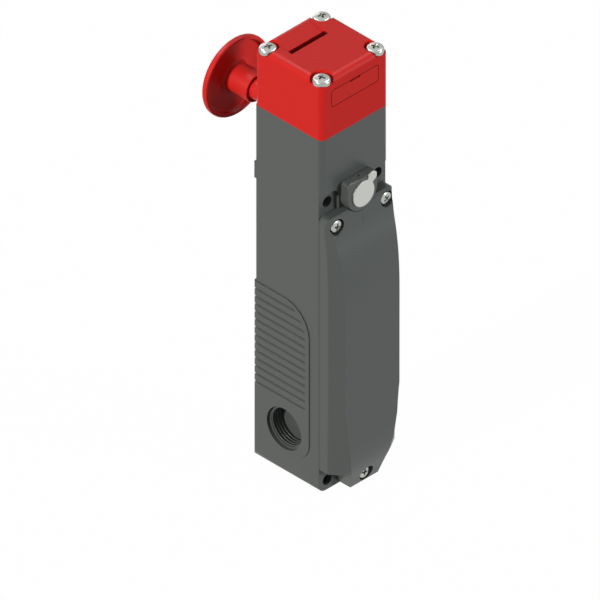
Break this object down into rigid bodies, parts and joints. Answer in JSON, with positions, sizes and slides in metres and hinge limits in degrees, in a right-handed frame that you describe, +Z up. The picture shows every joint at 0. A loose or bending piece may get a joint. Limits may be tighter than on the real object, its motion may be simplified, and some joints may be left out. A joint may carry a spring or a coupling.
{
  "type": "tongue interlock switch",
  "caption": "Guard interlock switch with a slotted turret head, ribbed housing, contoured front cover, shuttered key release and a push-in escape knob on the back.",
  "frame": {"origin": "centre of the four mounting holes, on the plane of the back mounting pads", "axes": "+Z up towards the head, +Y out of the back towards the escape knob, +X to the right as seen from the front; the front faces -Y"},
  "size_m": [0.0408, 0.0845, 0.2133],
  "materials": {
    "housing_paint": "fine matt powder coat on a die casting",
    "head_paint": "fine matt powder coat on a die casting",
    "gasket_rubber": "matt",
    "screw_steel": "bright plated",
    "plug_plastic": "satin moulding",
    "hard_steel": "ground",
    "guide_brass": "machined",
    "yoke_steel": "plated sheet",
    "coil_tape": "wound and taped",
    "spring_steel": "spring wire",
    "block_plastic": "moulded",
    "slider_plastic": "moulded",
    "terminal_brass": "plated brass",
    "lock_chrome": "plated",
    "shutter_metal": "satin",
    "guide_metal": "turned",
    "knob_plastic": "satin moulding"
  },
  "bodies": {
    "casing": {"housing": "housing_paint", "cover": "housing_paint", "cover_gasket": "gasket_rubber", "cover_screws": "screw_steel", "head": "head_paint", "head_gasket": "gasket_rubber", "head_screws": "screw_steel", "slot_plug": "plug_plastic", "cam_axle": "hard_steel", "plunger_guide": "guide_brass", "solenoid_yoke": "yoke_steel", "solenoid_coil": "coil_tape", "lock_spring": "spring_steel", "left_contact_block": "block_plastic", "right_contact_block": "block_plastic", "terminal_screws": "terminal_brass", "chassis_plate": "yoke_steel", "chassis_screws": "screw_steel", "earth_screw": "terminal_brass", "lock_barrel": "lock_chrome", "lock_nut": "lock_chrome", "shutter_rivet": "shutter_metal", "escape_guide": "guide_metal", "escape_seal": "gasket_rubber"},
    "cam": {"cam_wheel": "hard_steel"},
    "lifter": {"push_rod": "hard_steel", "left_contact_slider": "slider_plastic"},
    "lock": {"lock_pin": "hard_steel", "solenoid_core": "hard_steel", "lock_follower": "block_plastic", "right_contact_slider": "slider_plastic"},
    "escape": {"escape_knob": "knob_plastic", "escape_rod": "knob_plastic", "rod_clip": "spring_steel"},
    "key": {"key_plug": "terminal_brass", "release_cam": "hard_steel"},
    "shutter": {"key_shutter": "shutter_metal"}
  },
  "joints": [
    {"name": "cam_turn", "type": "hinge", "parent": "casing", "child": "cam", "pos_m": [-0.0023, -0.0205, 0.1195], "axis": [-1, 0, 0], "range_deg": [0, 60]},
    {"name": "lifter_rise", "type": "slide", "parent": "casing", "child": "lifter", "axis": [0, 0, 1], "range_m": [0, 0.004]},
    {"name": "lock_lift", "type": "slide", "parent": "casing", "child": "lock", "axis": [0, 0, 1], "range_m": [0, 0.004], "stiffness_N_per_m": 120, "springref_m": -0.006, "deforming": ["lock_spring"]},
    {"name": "escape_push", "type": "slide", "parent": "casing", "child": "escape", "axis": [0, -1, 0], "range_m": [0, 0.006]},
    {"name": "key_turn", "type": "hinge", "parent": "casing", "child": "key", "pos_m": [0, -0.0452, 0.0721], "axis": [0, 1, 0], "range_deg": [0, 90]},
    {"name": "shutter_swing", "type": "hinge", "parent": "casing", "child": "shutter", "pos_m": [0.0053, -0.0452, 0.0786], "axis": [0, 1, 0], "range_deg": [0, 110]}
  ],
  "couplings": [
    {"joint": "cam_turn", "follows": "lifter_rise", "rad_per_m": 261.8}
  ]
}
